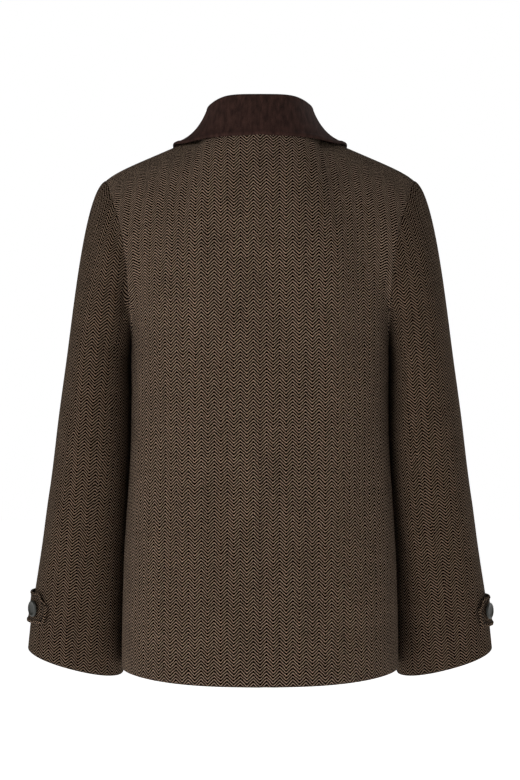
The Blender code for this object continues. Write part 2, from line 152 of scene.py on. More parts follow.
ARMHOLE_FOOT_X = 0.160
TORSO_POWER = 2.7
BACK_TOP_POWER = 2.5
FRONT_TOP_POWER = 1.7
# Fullness over the shoulder blades and the bust: side offset, drop, half width, half height, depth
BLADE = (0.075, 0.150, 0.050, 0.080, 0.007)
BUST = (0.080, 0.225, 0.048, 0.070, 0.009)
NECK_SHARE = 0.38              # share of a half panel's columns that end on the neck seam
SKIRT_SHARE = 0.60             # share of a panel's height that lies below the armhole


def table(columns, *rows):
    """A table with a name for each column and a row for each section."""
    return {name: np.array([row[i] for row in rows]) for i, name in enumerate(columns.split())}


TORSO = table(
    "drop   half_width  back   front",
    (0.262, 0.1600, 0.118, 0.135),
    (0.330, 0.1585, 0.118, 0.134),
    (0.400, 0.1600, 0.115, 0.130),
    (0.457, 0.1635, 0.116, 0.129),
    (0.532, 0.1680, 0.122, 0.130),
    (0.600, 0.1700, 0.126, 0.130),
    (0.680, 0.1712, 0.128, 0.130),
)


def smooth(places, values, at):
    """Cubic curve through a table's rows, with shared slopes where its pieces meet."""
    slopes = np.gradient(values, places)
    i = np.clip(np.searchsorted(places, at) - 1, 0, len(places) - 2)
    step = places[i + 1] - places[i]
    t = np.clip((at - places[i]) / step, 0.0, 1.0)
    start = (1 + 2 * t) * (1 - t) ** 2 * values[i] + t * (1 - t) ** 2 * step * slopes[i]
    end = t ** 2 * (3 - 2 * t) * values[i + 1] + t ** 2 * (t - 1) * step * slopes[i + 1]
    return start + end


def ease(t):
    """0 to 1 with level ends: 3 t squared less 2 t cubed."""
    t = np.clip(t, 0.0, 1.0)
    return t * t * (3 - 2 * t)


def flattened(value, power):
    """A sine or cosine made boxier: its size to the power 2 / power, its sign kept."""
    return np.sign(value) * np.abs(value) ** (2 / power)


def shoulder_height(x):
    """Height of the shoulder seam: an even slope that sinks a little at the armhole."""
    share = (x - NECK_HALF_WIDTH) / (SHOULDER_TIP - NECK_HALF_WIDTH)
    return -SHOULDER_SINK - SHOULDER_SLOPE * (x - NECK_HALF_WIDTH) - SHOULDER_DIP * share ** 10


def neck_seam(turn):
    """Neck seam at a turn from the centre back (0) to the centre front (pi): an ellipse of
    one depth behind and another in front, whose height falls with the cosine's power."""
    across = np.cos(turn)
    depth = np.where(across > 0, NECK_BACK[0], NECK_FRONT[0])
    back_height = -SHOULDER_SINK + (NECK_BACK[1] + SHOULDER_SINK) * across ** 2
    sweep = np.abs(across) ** NECK_FRONT_SWEEP
    front_height = -SHOULDER_SINK + (NECK_FRONT[1] + SHOULDER_SINK) * sweep
    height = np.where(across > 0, back_height, front_height)
    return np.stack([NECK_HALF_WIDTH * np.sin(turn), depth * across, height], axis=-1)


def armhole(turn):
    """Armhole loop from the shoulder tip (0) over the back (pi / 2) to the pit (pi): an
    ellipse seen from the side, whose x grows with the cube of its rise over the pit."""
    top = shoulder_height(SHOULDER_TIP)
    height = (top - PIT_DROP) / 2 + (top + PIT_DROP) / 2 * np.cos(turn)
    rise = (height + PIT_DROP) / (top + PIT_DROP)
    depth = np.where(np.sin(turn) > 0, ARMHOLE_BACK, ARMHOLE_FRONT)
    x = ARMHOLE_FOOT_X + (SHOULDER_TIP - ARMHOLE_FOOT_X) * rise ** 3
    return np.stack([x, depth * np.sin(turn), height], axis=-1)


def torso_ring(facing, across, drop):
    """Quarter ring round the torso, a superellipse of the table's half width and depth:
    across runs from the centre (0) to the side seam (1)."""
    angle = np.radians(90 * across)
    half_width = smooth(TORSO["drop"], TORSO["half_width"], drop)
    depth = smooth(TORSO["drop"], TORSO["back" if facing > 0 else "front"], drop)
    x = half_width * flattened(np.sin(angle), TORSO_POWER)
    y = facing * depth * flattened(np.cos(angle), TORSO_POWER)
    return x, y


def top_edge(facing, across):
    """Upper edge of a half panel: the neck seam as far as the side neck, then the shoulder."""
    neck_turn = np.radians(90 * np.minimum(across / NECK_SHARE, 1.0))
    neck = neck_seam(neck_turn if facing > 0 else np.pi - neck_turn)
    out = np.maximum(across - NECK_SHARE, 0.0) / (1 - NECK_SHARE)
    x = NECK_HALF_WIDTH + (SHOULDER_TIP - NECK_HALF_WIDTH) * out
    seam = np.stack([x, np.zeros_like(x), shoulder_height(x)], axis=-1)
    return np.where((across <= NECK_SHARE)[..., None], neck, seam)


def body(facing, across, up):
    """Outer face of the body's left half. Facing is 1 for the back and -1 for the front.

    Up to the armhole's foot, rows are torso rings from the hem (up 0). Above it, each point is
    a blend of the last ring and the top edge by the sine and cosine of a quarter turn made
    boxier, and the outer columns are drawn to the armhole loop by the cube of across.
    """
    mirrored = np.where(across < 0, -1.0, 1.0)
    across = np.abs(across)
    rise = np.clip(up / SKIRT_SHARE, 0.0, 1.0)
    hem = HEM_DROP - HEM_SIDE_RISE * np.sin(np.radians(90 * across)) ** 2
    x_low, y_low = torso_ring(facing, across, HEM_DROP + (PIT_DROP - HEM_DROP) * rise)
    z_low = -(hem + (PIT_DROP - hem) * rise)

    climb = np.clip((up - SKIRT_SHARE) / (1 - SKIRT_SHARE), 0.0, 1.0)
    quarter = np.radians(90 * climb)
    power = BACK_TOP_POWER if facing > 0 else FRONT_TOP_POWER
    raised = flattened(np.sin(quarter), power)
    depth_left = flattened(np.cos(quarter), power)
    top = top_edge(facing, across)
    loop = armhole(facing * np.pi * (1 - climb))
    pull = across ** 3
    shoulder = shoulder_height(SHOULDER_TIP)
    inward = raised ** 2
    x_foot, y_foot = torso_ring(facing, across, np.full_like(across, PIT_DROP))
    x_side = TORSO["half_width"][0] * (1 - inward) + SHOULDER_TIP * inward
    x = x_foot * (1 - inward) + top[..., 0] * inward + pull * (loop[..., 0] - x_side)
    y = y_foot * depth_left + top[..., 1] * (1 - depth_left) + pull * loop[..., 1]
    z_side = -PIT_DROP + (shoulder + PIT_DROP) * raised
    z = -PIT_DROP + (top[..., 2] + PIT_DROP) * raised + pull * (loop[..., 2] - z_side)

    above = up > SKIRT_SHARE
    x = np.where(above, x, x_low)
    y = np.where(above, y, y_low)
    z = np.where(above, z, z_low)
    offset, drop, half_width, half_height, depth = BLADE if facing > 0 else BUST
    fullness = np.exp(-((x - offset) / half_width) ** 2 - ((z + drop) / half_height) ** 2)
    y = y + facing * depth * fullness * (1 - across ** 4) * depth_left
    return np.stack([x * mirrored, y, z], axis=-1)


def steps_along(length, first=0.0, last=1.0, spacing=GRID):
    """Shares of a length in metres, from first to last, an even spacing apart, with the
    finer edge spacing added in from both ends."""
    span = length * (last - first)
    edge = np.array(EDGE_GRID) / span
    count = max(int(round(span / spacing)), 4)
    inner = np.linspace(0.0, 1.0, count + 1)[1:-1]
    inner = inner[(inner > edge[-1] * 1.5) & (inner < 1 - edge[-1] * 1.5)]
    return first + (last - first) * np.concatenate([[0.0], edge, inner, 1 - edge[::-1], [1.0]])


def outward(points, sign):
    """Unit normals of a grid: the cross product of its steps along columns and rows."""
    normal = np.cross(np.gradient(points, axis=1), np.gradient(points, axis=0))
    return sign * normal / np.linalg.norm(normal, axis=-1)[..., None]


def laid_into(direction, normals):
    """Unit vectors nearest to a direction in the surface: the direction less its part along
    the normal."""
    part = direction - np.sum(direction * normals, axis=-1)[..., None] * normals
    return part / np.linalg.norm(part, axis=-1)[..., None]


def running_total(steps, axis):
    """Sum of the steps up to each point of a grid, from nothing at its first row or column."""
    start = np.zeros_like(np.take(steps, [0], axis=axis))
    return np.cumsum(np.concatenate([start, steps], axis=axis), axis=axis)


def travelled_along(points, axis):
    """Length of the way to each point of a line or grid, along one axis of it."""
    return running_total(np.linalg.norm(np.diff(points, axis=axis), axis=-1), axis)


def part_along(points, directions, axis):
    """Running total of the steps' parts along the directions at their two ends."""
    both = np.delete(directions, 0, axis) + np.delete(directions, -1, axis)
    return running_total(np.sum(np.diff(points, axis=axis) * both / 2, axis=-1), axis)


def lay_flat(points, crosswise, upward, column):
    """Cloth coordinates in metres from the directions of its two sets of yarns. Each step
    along a row from the named column is added up along both, and so is each step down it."""
    u = part_along(points, crosswise, 1)
    v = part_along(points, upward, 1)
    rise = part_along(points[:, column], upward[:, column], 0)
    return u - u[:, column:column + 1], v - v[:, column:column + 1] + rise[:, None]


def fold_depth(along, down, *folds):
    """Height of a panel's folds at points of its chart. Each fold runs from one place to
    another on a shallow bow. Across it, it is a bell curve with a lower swell on both sides,
    and its height fades to nothing at both ends."""
    height = np.zeros_like(along)
    for a0, d0, a1, d1, bow, width, depth in folds:
        length = np.hypot(a1 - a0, d1 - d0)
        dir_a, dir_d = (a1 - a0) / length, (d1 - d0) / length
        t = ((along - a0) * dir_a + (down - d0) * dir_d) / length
        inside = np.clip(4 * t * (1 - t), 0.0, 1.0)
        side = (down - d0) * dir_a - (along - a0) * dir_d - bow * inside
        q = side / (width * (0.55 + 0.45 * inside))
        swells = 0.28 * np.exp(-((np.abs(q) - 1.9) / 0.9) ** 2)
        height += depth * inside * (np.exp(-q ** 2) - swells)
    return height


def grid_faces(index):
    """Four-cornered faces of a grid of point numbers, or of a row of such grids."""
    corners = (index[..., :-1, :-1], index[..., :-1, 1:], index[..., 1:, 1:], index[..., 1:, :-1])
    return np.stack([corner.ravel() for corner in corners], axis=-1)


def mesh_piece(name, points, faces, material, uv=None):
    """A piece from its points, a list of its faces and the points' cloth coordinates."""
    mesh = bpy.data.meshes.new(name)
    mesh.from_pydata(points.tolist(), [], faces)
    if uv is not None:
        layer = mesh.uv_layers.new(name="cloth")
        layer.data.foreach_set("uv", uv[np.ravel(faces)].astype(np.float32).ravel())
    mesh.materials.append(material)
    mesh.shade_smooth()
    item = bpy.data.objects.new(name, mesh)
    bpy.context.scene.collection.objects.link(item)
    return item


def edge_distance(points):
    """Distance of each grid point from the nearest edge, measured along its row and column."""
    from_left = travelled_along(points, 1)
    from_top = travelled_along(points, 0)
    sides = np.minimum(from_left, from_left[:, -1:] - from_left)
    ends = np.minimum(from_top, from_top[-1:] - from_top)
    return np.minimum(sides, ends)


def shell(name, points, normals, thickness, material, u, v, swell=0.0, turn_in=EDGE_TURN_IN):
    """Closed thin shell under a grid of outer points. Within turn_in of an edge its outer
    face sinks to its inner one as a quarter circle does, and they meet in a round edge.
    Swell is added to the outer face."""
    near = np.clip(edge_distance(points) / turn_in, 0.0, 1.0)
    drop = (turn_in * (1 - np.sqrt(np.maximum(1 - (1 - near) ** 2, 0.0))))[..., None]
    inside = np.clip(edge_distance(points) / thickness, 0.0, 1.0)[..., None]
    outer = points - normals * (drop - np.asarray(swell)[..., None] * near[..., None])
    inner = points - normals * (turn_in + (thickness - turn_in) * inside ** 0.5)
    rows, columns = near.shape
    front = np.arange(rows * columns).reshape(rows, columns)
    back = front.copy()
    back[1:-1, 1:-1] = rows * columns + np.arange((rows - 2) * (columns - 2)).reshape(rows - 2, -1)
    spots = np.concatenate([outer.reshape(-1, 3), inner[1:-1, 1:-1].reshape(-1, 3)])
    flat = np.stack([u, v], axis=-1)
    uv = np.concatenate([flat.reshape(-1, 2), flat[1:-1, 1:-1].reshape(-1, 2)])
    faces = grid_faces(front)
    hidden = grid_faces(back)[:, ::-1]
    step_row, step_column = points[1, 0] - points[0, 0], points[0, 1] - points[0, 0]
    if np.dot(np.cross(step_column, step_row), normals[0, 0]) < 0:
        faces, hidden = faces[:, ::-1], hidden[:, ::-1]
    return mesh_piece(name, spots, np.concatenate([faces, hidden]).tolist(), material, uv)


# Herringbone tweed: carded wool yarns woven two over and two under. The lighter lengthwise
# yarns and the near-black crosswise yarns make slanting lines, and the slant turns over every
# eight yarns. The fuzz of loose fibres gives it a soft, matt face that pales at a grazing view.
WARP_PITCH = 0.000975          # one lengthwise yarn
WEFT_PITCH = 0.00099           # one crosswise yarn
YARNS_PER_STRIPE = 8
LIGHT_YARN = "#d8bba2"
DARK_YARN = "#170a04"
YARN_WANDER = 0.0011           # how far the noise moves a yarn to and fro
FLOAT_SPAN = 4.0               # yarns from one float to the next: over two, under two
# Sums at each point of the cloth: the result, the operation, and what it works on
WEAVE_STEPS = (
    ("a", "DIVIDE", "u", WARP_PITCH),
    ("b", "DIVIDE", "v", WEFT_PITCH),
    ("i", "FLOOR", "a"),
    ("j", "FLOOR", "b"),
    ("middle", "ADD", "i", 0.5),
    ("zigzag", "PINGPONG", "middle", float(YARNS_PER_STRIPE)),
    ("smooth_zigzag", "PINGPONG", "a", float(YARNS_PER_STRIPE)),
    ("lag", "SUBTRACT", "j", "zigzag"),
    ("count", "FLOORED_MODULO", "lag", FLOAT_SPAN),
    ("warp_up", "LESS_THAN", "count", FLOAT_SPAN / 2),
    ("in_warp", "FRACT", "a"),
    ("in_weft", "FRACT", "b"),
    ("across_warp", "SUBTRACT", "in_warp", 0.5),
    ("across_weft", "SUBTRACT", "in_weft", 0.5),
    ("start", "SUBTRACT", "b", 0.5),
    ("warp_way", "SUBTRACT", "start", "zigzag"),
    ("weft_way", "SUBTRACT", "j", "smooth_zigzag"),
    ("lengthwise", "FLOORED_MODULO", "warp_way", FLOAT_SPAN),
    ("crosswise", "FLOORED_MODULO", "weft_way", FLOAT_SPAN),
)
# Round section of the yarn on top, its rise over the yarns that it crosses, and its tone, which
# differs from yarn to yarn and from place to place along each. Painted shade darkens each yarn
# towards its sides and the ends of its float, and the piece's point attribute adds painted shade,
# or painted light where it is negative
YARN_STEPS = (
    ("angle", "MULTIPLY", "side", np.pi),
    ("roundness", "COSINE", "angle"),
    ("swing", "MULTIPLY", "run", 2 * np.pi / FLOAT_SPAN),
    ("wave", "SINE", "swing"),
    ("bend", "ABSOLUTE", "wave"),
    ("rise", "MULTIPLY_ADD", "bend", 0.45, 0.55),
    ("height", "MULTIPLY", "roundness", "rise"),
    ("tone_1", "MULTIPLY_ADD", "yarn", 0.24, 0.16),
    ("tone_2", "MULTIPLY_ADD", "fleck", 0.42, "tone_1"),
    ("tone_3", "MULTIPLY_ADD", "pick", 0.14, "tone_2"),
    ("tone_4", "MULTIPLY_ADD", "heather", 0.62, "tone_3"),
    ("tone", "MULTIPLY_ADD", "cloud", 0.34, "tone_4"),
    # painted shade: each yarn is darkened towards its sides and the ends of its float
    ("narrow_bend", "POWER", "bend", 3.8),
    ("painted_yarn_shade", "MULTIPLY", "roundness", "narrow_bend"),
    ("lit", "MULTIPLY", "tone", "painted_yarn_shade"),
    # the piece's painted shade, and painted light where it is negative, scales the colour
    ("painted_shade_factor", "SUBTRACT", 1.0, "painted_shade_and_light"),
    ("shade", "MULTIPLY", "lit", "painted_shade_factor"),
    ("relief", "MULTIPLY_ADD", "fuzz", 0.35, "height"),
)
CLOTH_NOISES = (("heather", 420.0, 3.0), ("cloud", 28.0, 3.0), ("fuzz", 2600.0, 2.0))


def new_material(name):
    material = bpy.data.materials.new(name)
    material.use_nodes = True
    return material, material.node_tree, material.node_tree.nodes["Principled BSDF"]


def work_out(tree, value, steps):
    """Add a table of sums to a material: each row's result goes into value under its name."""
    for result, operation, *feeds in steps:
        links = [(k, value.get(feed, feed)) for k, feed in enumerate(feeds)]
        value[result] = add_node(tree, "ShaderNodeMath", links, operation=operation).outputs[0]


def tint(tree, shader, base, shade):
    """Base colour of a material: one colour or a socket of it, made lighter or darker."""
    tinted = add_node(tree, "ShaderNodeVectorMath", [(0, base)], operation="SCALE")
    tree.links.new(shade, tinted.inputs["Scale"])
    tree.links.new(tinted.outputs[0], shader.inputs["Base Color"])


def raise_grain(tree, shader, height, distance, strength):
    bump = add_node(tree, "ShaderNodeBump", [("Height", height), ("Distance", distance),
                                             ("Strength", strength)])
    tree.links.new(bump.outputs[0], shader.inputs["Normal"])


def herringbone(name, light, dark):
    """Tweed whose yarns are counted in the piece's own cloth coordinates. A lengthwise yarn
    shows where the crosswise count less the zigzag count, divided by four, leaves under two."""
    material, tree, shader = new_material(name)
    place = add_node(tree, "ShaderNodeUVMap", uv_map="cloth").outputs[0]
    wobble = add_node(tree, "ShaderNodeTexNoise", [("Vector", place), ("Scale", 160.0),
                                                   ("Detail", 2.0)], noise_dimensions="2D")
    shift = add_node(tree, "ShaderNodeVectorMath", [(0, wobble.outputs["Color"]),
                                                    (1, (0.5, 0.5, 0.5))], operation="SUBTRACT")
    moved = add_node(tree, "ShaderNodeVectorMath",
                     [(0, shift.outputs[0]), (1, (YARN_WANDER, YARN_WANDER, 0.0)), (2, place)],
                     operation="MULTIPLY_ADD")
    split = add_node(tree, "ShaderNodeSeparateXYZ", [(0, moved.outputs[0])])
    value = {"u": split.outputs[0], "v": split.outputs[1]}
    work_out(tree, value, WEAVE_STEPS)
    for result, of_weft, of_warp in (("side", "across_weft", "across_warp"),
                                     ("run", "crosswise", "lengthwise")):
        links = [(0, value["warp_up"]), (2, value[of_weft]), (3, value[of_warp])]
        value[result] = add_node(tree, "ShaderNodeMix", links).outputs[0]
    for result, counted in (("yarn", "i"), ("pick", "j")):
        value[result] = add_node(tree, "ShaderNodeTexWhiteNoise", [("W", value[counted])],
                                 noise_dimensions="1D").outputs[0]
    cell = add_node(tree, "ShaderNodeCombineXYZ", [(0, value["i"]), (1, value["j"])]).outputs[0]
    value["fleck"] = add_node(tree, "ShaderNodeTexWhiteNoise", [("Vector", cell)],
                              noise_dimensions="2D").outputs[0]
    for result, scale, detail in CLOTH_NOISES:
        links = [("Vector", place), ("Scale", scale), ("Detail", detail)]
        value[result] = add_node(tree, "ShaderNodeTexNoise", links, noise_dimensions="2D").outputs[0]
    # painted shade from the piece's point attribute where it has one, and painted light where that
    # is negative
    value["painted_shade_and_light"] = add_node(tree, "ShaderNodeAttribute", attribute_name="painted_shade_and_light").outputs["Fac"]
    work_out(tree, value, YARN_STEPS)
    yarns = add_node(tree, "ShaderNodeMix",
                     [(0, value["warp_up"]), (6, colour(dark)), (7, colour(light))],
                     data_type="RGBA").outputs[2]
    tint(tree, shader, yarns, value["shade"])
    raise_grain(tree, shader, value["relief"], distance=0.0004, strength=0.55)
    shader.inputs["Roughness"].default_value = 0.92
    shader.inputs["Specular IOR Level"].default_value = 0.02
    shader.inputs["Sheen Weight"].default_value = 0.01
    shader.inputs["Sheen Roughness"].default_value = 0.55
    shader.inputs["Sheen Tint"].default_value = colour("#8c8266")
    return material


tweed = herringbone("carded wool herringbone tweed", LIGHT_YARN, DARK_YARN)


PANEL_WIDTH = 0.235            # a half panel's greatest measure round the body
PANEL_HEIGHT = 0.72
LAP_SHARE = np.degrees(np.arcsin((LAP_WIDTH / TORSO["half_width"][0]) ** (TORSO_POWER / 2))) / 90
BODY_PANELS = {                # side (1 is the wearer's left), facing, lifted
    "back_left": (1, 1, False),
    "back_right": (-1, 1, False),
    "front_left": (1, -1, False),
    "front_right": (-1, -1, True),
}
# Folds of each panel in metres: from (out from the centre, down) to (out, down), bow, width,
# height. They're soft, and differ from panel to panel.
BODY_FOLDS = {
    "back_left": [
        (0.066, 0.225, 0.104, 0.330, 0.010, 0.020, -0.0022),
        (0.056, 0.330, 0.060, 0.580, 0.006, 0.016, -0.0018),
        (0.122, 0.290, 0.112, 0.520, -0.006, 0.015, -0.0020),
        (0.150, 0.110, 0.122, 0.260, 0.006, 0.020, 0.0018),
        (0.092, 0.370, 0.084, 0.470, 0.003, 0.014, 0.0014),
        (0.026, 0.440, 0.021, 0.560, 0.002, 0.011, 0.0012),
    ],
    "back_right": [
        (0.041, 0.130, 0.052, 0.520, 0.004, 0.013, -0.0034),
        (0.119, 0.045, 0.113, 0.340, -0.004, 0.014, -0.0034),
        (0.082, 0.240, 0.092, 0.540, 0.003, 0.014, 0.0022),
        (0.138, 0.330, 0.128, 0.600, 0.004, 0.015, -0.0024),
        (0.009, 0.610, 0.006, 0.700, 0.002, 0.006, -0.0026),
    ],
    "front_left": [
        (0.075, 0.330, 0.060, 0.560, 0.006, 0.018, -0.0026),
        (0.125, 0.240, 0.085, 0.330, -0.008, 0.014, -0.0028),
        (0.120, 0.400, 0.112, 0.610, 0.004, 0.019, -0.0024),
    ],
    "front_right": [
        (0.130, 0.225, 0.092, 0.310, -0.010, 0.015, -0.0030),
        (0.085, 0.350, 0.070, 0.590, 0.006, 0.017, -0.0024),
        (0.134, 0.430, 0.120, 0.640, 0.004, 0.016, -0.0025),
    ],
}
SIDE_FILL = (0.0013, 0.0007)   # fullness of the sides below the armholes, and more of it near
SIDE_FILL_DROP = 0.33          # this drop
SEAM_RIDGE = 0.0042            # how far the centre back seam stands out, as a soft ridge
SEAM_RIDGE_WIDTH = 0.055
SIDE_FILL_HEIGHT = 0.05        # the extra fullness reaches this far up and down
SIDE_FILL_FADE = 0.03          # it all fades out over this length below the armholes' feet
TOP_FADE = 0.08                # share of a panel's height over which folds fade at its top

for panel, (side, facing, lifted) in BODY_PANELS.items():
    overlap = LAP_SHARE if facing < 0 else 0.0
    rows = np.sort(np.concatenate([steps_along(PANEL_HEIGHT, 0.0, SKIRT_SHARE)[:-5],
                                   steps_along(0.40, SKIRT_SHARE, 1.0, 0.0022)[5:]]))
    around = steps_along(PANEL_WIDTH, -overlap, 1.0)
    up, across = np.meshgrid(rows, around, indexing="ij")
    points = body(facing, across, up)
    if lifted:
        lift = LAP_LIFT * (1 - ease((points[..., 0] - LAP_WIDTH) / LAP_FADE))
        points = points + outward(points, 1) * lift[..., None]
    if facing > 0:
        points[..., 0] = np.maximum(points[..., 0], SEAM_GAP)
    beside_seam = (across >= NECK_SHARE) | (up < SKIRT_SHARE)
    clear_y = facing * np.maximum(facing * points[..., 1], SEAM_GAP)
    points[..., 1] = np.where(beside_seam, clear_y, points[..., 1])
    normals = outward(points, -facing)
    centre = int(np.argmin(np.abs(around)))
    crosswise = laid_into(np.array([1.0, -0.05 * facing, 0.0]), normals)
    u, v = lay_flat(points, crosswise, facing * np.cross(crosswise, normals), centre)
    swell = fold_depth(points[..., 0], -points[..., 2], *BODY_FOLDS[panel])
    if facing > 0:
        swell = swell + SEAM_RIDGE * np.exp(-points[..., 0].clip(0) / SEAM_RIDGE_WIDTH)
    swell = swell * (1 - across.clip(0, 1) ** 8) * ease((1 - up) / TOP_FADE)
    near_drop = np.exp(-((points[..., 2] + SIDE_FILL_DROP) / SIDE_FILL_HEIGHT) ** 2)
    fill = SIDE_FILL[0] + SIDE_FILL[1] * near_drop
    fill = fill * ease((-points[..., 2] - PIT_DROP) / SIDE_FILL_FADE)
    swell = swell + fill * across.clip(0, 1) ** 6
    points = points + normals * swell[..., None]
    points[..., 0] *= side
    normals[..., 0] *= side
    piece = shell(f"cloth_{panel}", points, normals, CLOTH, tweed, u * side, v)
    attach(piece, "root")
    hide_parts(panel)

# Sleeves. Each is a top and an under sleeve of the same tweed, with its lighter yarn darkened
# as painted shade, joined by a hind and a fore seam, eased into the armhole, and hanging a
# little forward and away from the body.
ARMHOLE_GAP = -0.0002          # the sleeve's edge presses into the body's
SLEEVE = table(
    "drop   outer_x  inner_x  centre_y  half_depth  tilt  pitch  hind_seam  fore_seam",
    (0.285, 0.2410, 0.1616, 0.000, 0.072, 5.0, 0.0, 124.0, -132.0),
    (0.357, 0.2510, 0.1608, -0.002, 0.069, 6.0, 1.0, 118.0, -128.0),
    (0.432, 0.2605, 0.1638, -0.007, 0.064, 7.0, 3.0, 105.0, -124.0),
    (0.507, 0.2720, 0.1684, -0.014, 0.058, 8.0, 6.0, 92.0, -118.0),
    (0.570, 0.2820, 0.1711, -0.022, 0.052, 10.0, 8.5, 87.0, -113.0),
    (0.620, 0.2890, 0.1722, -0.029, 0.048, 12.5, 10.0, 85.0, -110.0),
    (0.660, 0.2935, 0.1728, -0.034, 0.045, 14.3, 11.0, 86.0, -108.0),
)
SLEEVE_POWER = 2.2
HEAD_HIND_SEAM = 130
HEAD_FORE_SEAM = -136
HEAD_LENGTH = 0.20             # down a sleeve's outside, from the armhole to the first station
ARM_LENGTH = 0.375
HEAD_LEAN = (5, 70)            # slope from plumb where it leaves the armhole: at the pit, and
HEAD_SPREAD = 0.15             # how much more of it at the shoulder; its turn to front and back
HEAD_PULL = (0.75, 0.40)       # how far that slope is kept at the pit, and how much less above
HEAD_ARRIVAL = 0.9             # how far the first ring's slope is kept
FOLD_RADIUS = 0.055            # girth per radian, for the folds' chart
HEAD_FADE, CUFF_FADE = 0.1, 0.02   # shares over which the folds fade at both ends
SLEEVE_FOLDS = {               # girth from the outside (back is plus) and drop at both ends, bow,
    "left": [                  # width and height
        (0.052, 0.080, 0.100, 0.165, 0.006, 0.011, -0.0050),
        (0.097, 0.140, 0.122, 0.240, 0.002, 0.010, -0.0040),
        (0.058, 0.115, 0.092, 0.200, 0.004, 0.012, 0.0026),
        (0.080, 0.196, 0.140, 0.210, 0.003, 0.009, -0.0026),
        (0.078, 0.262, 0.138, 0.270, 0.002, 0.010, -0.0026),
        (0.070, 0.322, 0.136, 0.334, -0.003, 0.011, -0.0028),
        (0.030, 0.330, 0.092, 0.372, 0.004, 0.014, -0.0018),
        (-0.112, 0.296, -0.040, 0.322, 0.004, 0.012, -0.0030),
        (-0.116, 0.350, -0.036, 0.352, -0.003, 0.012, -0.0028),
        (-0.100, 0.110, -0.066, 0.210, 0.004, 0.014, -0.0030),
        (0.030, 0.440, 0.010, 0.590, 0.003, 0.016, -0.0018),
    ],
    "right": [
        (0.076, 0.078, 0.094, 0.160, 0.002, 0.010, -0.0042),
        (0.062, 0.115, 0.104, 0.215, 0.004, 0.012, -0.0032),
        (0.082, 0.216, 0.140, 0.232, 0.002, 0.009, -0.0030),
        (0.096, 0.295, 0.118, 0.395, 0.004, 0.010, -0.0028),
        (0.052, 0.360, 0.106, 0.340, 0.002, 0.009, 0.0024),
        (0.060, 0.270, 0.130, 0.300, 0.003, 0.012, -0.0020),
        (-0.110, 0.310, -0.046, 0.330, 0.004, 0.012, -0.0028),
        (-0.112, 0.362, -0.040, 0.368, -0.003, 0.013, -0.0030),
        (-0.096, 0.120, -0.060, 0.200, 0.004, 0.014, -0.0028),
        (0.024, 0.450, 0.012, 0.600, 0.003, 0.016, -0.0020),
    ],
}


def sleeve_ring(station, turn):
    """Ring of the sleeve at a station, a superellipse turned from outside (0) over the back
    (pi / 2) to the torso side (pi). Its plane tilts up to the outer side and down to the back."""
    row = {name: smooth(SLEEVE["drop"], SLEEVE[name], station) for name in SLEEVE}
    half = (row["outer_x"] - row["inner_x"]) / 2
    centre = (row["outer_x"] + row["inner_x"]) / 2
    out = half * flattened(np.cos(turn), SLEEVE_POWER)
    x = centre + out
    y = row["centre_y"] + row["half_depth"] * flattened(np.sin(turn), SLEEVE_POWER)
    z = (-station + out * np.tan(np.radians(row["tilt"]))
         - (y - row["centre_y"]) * np.tan(np.radians(row["pitch"])))
    return np.stack([x, y, z], axis=-1)


def sleeve(along, turn):
    """Outer face of the left sleeve. Over the head (along 0 to 1) each line is a cubic that
    leaves the armhole on its own lean and joins the first ring. From 1 to 2 it's the rings."""
    first, last = SLEEVE["drop"][0], SLEEVE["drop"][-1]
    station = first + (last - first) * np.clip(along - 1, 0.0, 1.0)
    lower = sleeve_ring(station, turn)
    step = 0.004
    start = armhole(turn) + np.array([ARMHOLE_GAP, 0.0, 0.0])
    end = sleeve_ring(np.full_like(turn, first), turn)
    below = sleeve_ring(np.full_like(turn, first + step), turn)
    chord = np.linalg.norm(end - start, axis=-1)[..., None]
    height = (1 + np.cos(turn)) / 2
    lean = np.radians(HEAD_LEAN[0] + HEAD_LEAN[1] * height)
    leave = np.stack([np.sin(lean), HEAD_SPREAD * np.sin(turn), -np.cos(lean)], axis=-1)
    leave = leave * chord * (HEAD_PULL[0] - HEAD_PULL[1] * height)[..., None]
    arrive = (below - end) / step * chord * HEAD_ARRIVAL
    t = np.clip(along, 0.0, 1.0)[..., None]
    head = ((1 + 2 * t) * (1 - t) ** 2 * start + t * (1 - t) ** 2 * leave
            + t ** 2 * (3 - 2 * t) * end + t ** 2 * (t - 1) * arrive)
    return np.where((along > 1)[..., None], lower, head)


def seam_turn(column, head_turn, along):
    """Turn of a long sleeve seam: straight over the head, then through the table's rows."""
    first, last = SLEEVE["drop"][0], SLEEVE["drop"][-1]
    station = first + (last - first) * np.clip(along - 1, 0.0, 1.0)
    head = head_turn + (SLEEVE[column][0] - head_turn) * along
    return np.where(along > 1, smooth(SLEEVE["drop"], SLEEVE[column], station), head)


